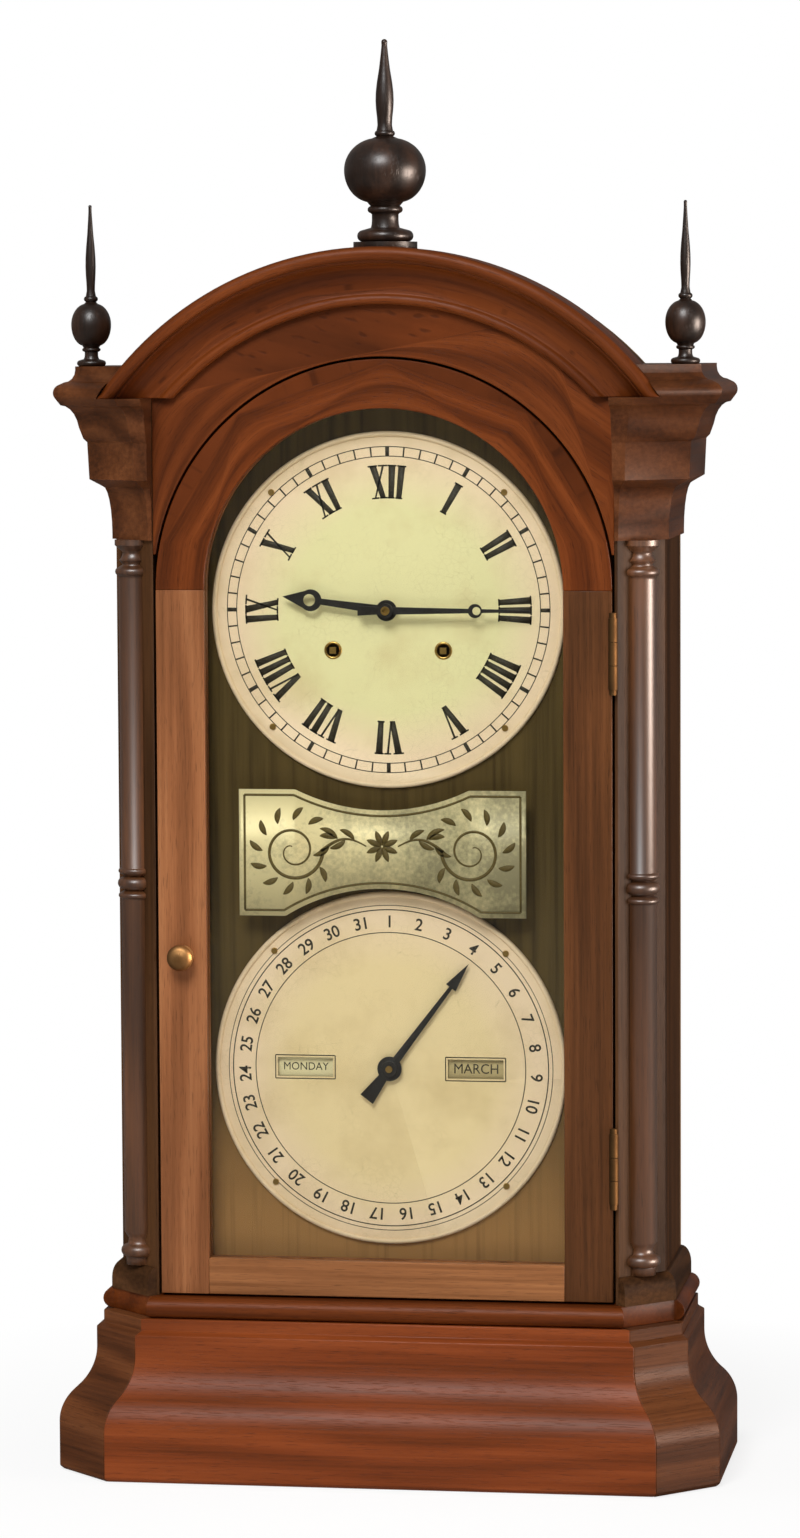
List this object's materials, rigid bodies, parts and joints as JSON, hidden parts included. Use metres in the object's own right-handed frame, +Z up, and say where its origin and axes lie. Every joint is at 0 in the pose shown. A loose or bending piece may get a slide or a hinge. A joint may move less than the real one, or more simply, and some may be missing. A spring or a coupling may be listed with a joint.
{
  "type": "calendar clock",
  "caption": "Double-dial calendar shelf clock: walnut case with arched glazed door, canted corner columns, moulded crown, turned finials and ogee base.",
  "frame": {"origin": "middle of the base's underside", "axes": "+Z up, the dials and the door face -Y, +X to the right seen from the front"},
  "size_m": [0.3802, 0.145, 0.813],
  "materials": {
    "walnut": "satin",
    "dark_walnut": "satin",
    "stained_board": "matte",
    "painted_dial": "satin",
    "glass": "polished",
    "brass": "satin",
    "blued_steel": "satin",
    "steel": "satin",
    "black_iron": "matte"
  },
  "bodies": {
    "case": {"base_board": "walnut", "base_front_moulding": "walnut", "base_return_mouldings": "walnut", "base_back_rail": "walnut", "deck_board": "walnut", "foot_mouldings": "walnut", "side_panels": "walnut", "corner_posts": "walnut", "columns": "walnut", "arch_fascia": "walnut", "roof_board": "walnut", "crown_moulding": "walnut", "capital_left": "walnut", "capital_right": "walnut", "back_board": "walnut", "finial_plinth": "dark_walnut", "finial_middle": "dark_walnut", "side_finials": "dark_walnut", "dial_board": "stained_board", "time_dial": "painted_dial", "calendar_dial": "painted_dial", "dial_screws": "brass", "movement_blocks": "walnut", "movement_front_plate": "brass", "movement_back_plate": "brass", "movement_pillars": "brass", "movement_screws": "steel", "mainsprings": "blued_steel", "suspension_cock": "brass", "gong_base": "black_iron", "gong_coil": "blued_steel", "calendar_plate": "brass", "hinge_case_leaves": "brass"},
    "door": {"door_stiles": "walnut", "door_bottom_rail": "walnut", "door_arch_rail": "walnut", "door_glass": "glass", "glazing_beads": "walnut", "hinge_door_leaves": "brass"},
    "door_knob": {"door_knob": "brass"},
    "minute_hand": {"minute_hand": "blued_steel", "cannon_pinion": "brass"},
    "minute_wheel": {"minute_wheel": "brass"},
    "hour_hand": {"hour_hand": "blued_steel", "hour_wheel": "brass"},
    "escape_wheel": {"escape_wheel": "brass"},
    "third_wheel": {"third_wheel": "brass"},
    "centre_wheel": {"centre_wheel": "brass"},
    "time_main_wheel": {"time_main_wheel": "brass"},
    "pendulum": {"pendulum_rod": "brass", "pendulum_bob": "brass"},
    "verge": {"verge_and_crutch": "steel"},
    "strike_fly": {"strike_fly": "brass"},
    "strike_second_wheel": {"strike_second_wheel": "brass"},
    "strike_main_wheel": {"strike_main_wheel": "brass"},
    "strike_hammer": {"strike_hammer": "steel"},
    "date_hand": {"date_hand": "blued_steel", "date_wheel": "brass"},
    "day_roller": {"day_roller": "painted_dial"},
    "month_roller": {"month_roller": "painted_dial"}
  },
  "joints": [
    {"name": "door_swing", "type": "hinge", "parent": "case", "child": "door", "pos_m": [0.1303, -0.0425, 0.325], "axis": [0, 0, 1], "range_deg": [0, 90]},
    {"name": "door_knob_turn", "type": "hinge", "parent": "door", "child": "door_knob", "pos_m": [-0.1158, -0.0395, 0.297], "axis": [0, 1, 0], "range_deg": [-90, 0]},
    {"name": "minute_hand_turn", "type": "hinge", "parent": "case", "child": "minute_hand", "pos_m": [0, -0.0178, 0.493], "axis": [0, 1, 0], "continuous": true},
    {"name": "minute_wheel_turn", "type": "hinge", "parent": "case", "child": "minute_wheel", "pos_m": [0.0144, 0.002, 0.493], "axis": [0, 1, 0], "continuous": true},
    {"name": "hour_hand_turn", "type": "hinge", "parent": "case", "child": "hour_hand", "pos_m": [0, -0.0178, 0.493], "axis": [0, 1, 0], "continuous": true},
    {"name": "escape_wheel_turn", "type": "hinge", "parent": "case", "child": "escape_wheel", "pos_m": [0, 0.019, 0.533], "axis": [0, 1, 0], "continuous": true},
    {"name": "third_wheel_turn", "type": "hinge", "parent": "case", "child": "third_wheel", "pos_m": [0.01022, 0.019, 0.51734], "axis": [0, 1, 0], "continuous": true},
    {"name": "centre_wheel_turn", "type": "hinge", "parent": "case", "child": "centre_wheel", "pos_m": [0, 0.019, 0.493], "axis": [0, 1, 0], "continuous": true},
    {"name": "time_main_wheel_turn", "type": "hinge", "parent": "case", "child": "time_main_wheel", "pos_m": [0.03155, 0.019, 0.47008], "axis": [0, 1, 0], "continuous": true},
    {"name": "pendulum_swing", "type": "hinge", "parent": "case", "child": "pendulum", "pos_m": [0, 0.052, 0.552], "axis": [0, 1, 0], "range_deg": [-4, 4]},
    {"name": "verge_rock", "type": "hinge", "parent": "case", "child": "verge", "pos_m": [0, 0.019, 0.552], "axis": [0, 1, 0], "range_deg": [-4, 4]},
    {"name": "strike_fly_turn", "type": "hinge", "parent": "case", "child": "strike_fly", "pos_m": [-0.03905, 0.019, 0.52464], "axis": [0, 1, 0], "continuous": true},
    {"name": "strike_second_wheel_turn", "type": "hinge", "parent": "case", "child": "strike_second_wheel", "pos_m": [-0.05105, 0.019, 0.50385], "axis": [0, 1, 0], "continuous": true},
    {"name": "strike_main_wheel_turn", "type": "hinge", "parent": "case", "child": "strike_main_wheel", "pos_m": [-0.03155, 0.019, 0.47008], "axis": [0, 1, 0], "continuous": true},
    {"name": "strike_hammer_lift", "type": "hinge", "parent": "case", "child": "strike_hammer", "pos_m": [-0.05314, 0.019, 0.43683], "axis": [0, 1, 0], "range_deg": [-20, 0]},
    {"name": "date_hand_turn", "type": "hinge", "parent": "case", "child": "date_hand", "pos_m": [0, -0.0178, 0.232], "axis": [0, 1, 0], "continuous": true},
    {"name": "day_roller_turn", "type": "hinge", "parent": "case", "child": "day_roller", "pos_m": [-0.049, -0.004, 0.232], "axis": [1, 0, 0], "continuous": true},
    {"name": "month_roller_turn", "type": "hinge", "parent": "case", "child": "month_roller", "pos_m": [0.049, 0.003, 0.232], "axis": [1, 0, 0], "continuous": true}
  ],
  "couplings": [
    {"joint": "minute_wheel_turn", "follows": "minute_hand_turn", "ratio": -0.33333},
    {"joint": "hour_hand_turn", "follows": "minute_hand_turn", "ratio": 0.083333},
    {"joint": "third_wheel_turn", "follows": "escape_wheel_turn", "ratio": -0.13333},
    {"joint": "centre_wheel_turn", "follows": "escape_wheel_turn", "ratio": 0.013333},
    {"joint": "time_main_wheel_turn", "follows": "escape_wheel_turn", "ratio": -0.0011111},
    {"joint": "verge_rock", "follows": "pendulum_swing", "ratio": 1},
    {"joint": "strike_second_wheel_turn", "follows": "strike_fly_turn", "ratio": -0.11111},
    {"joint": "strike_main_wheel_turn", "follows": "strike_fly_turn", "ratio": 0.0092593},
    {"joint": "day_roller_turn", "follows": "date_hand_turn", "ratio": 4.4286},
    {"joint": "month_roller_turn", "follows": "date_hand_turn", "ratio": 0.083333}
  ]
}
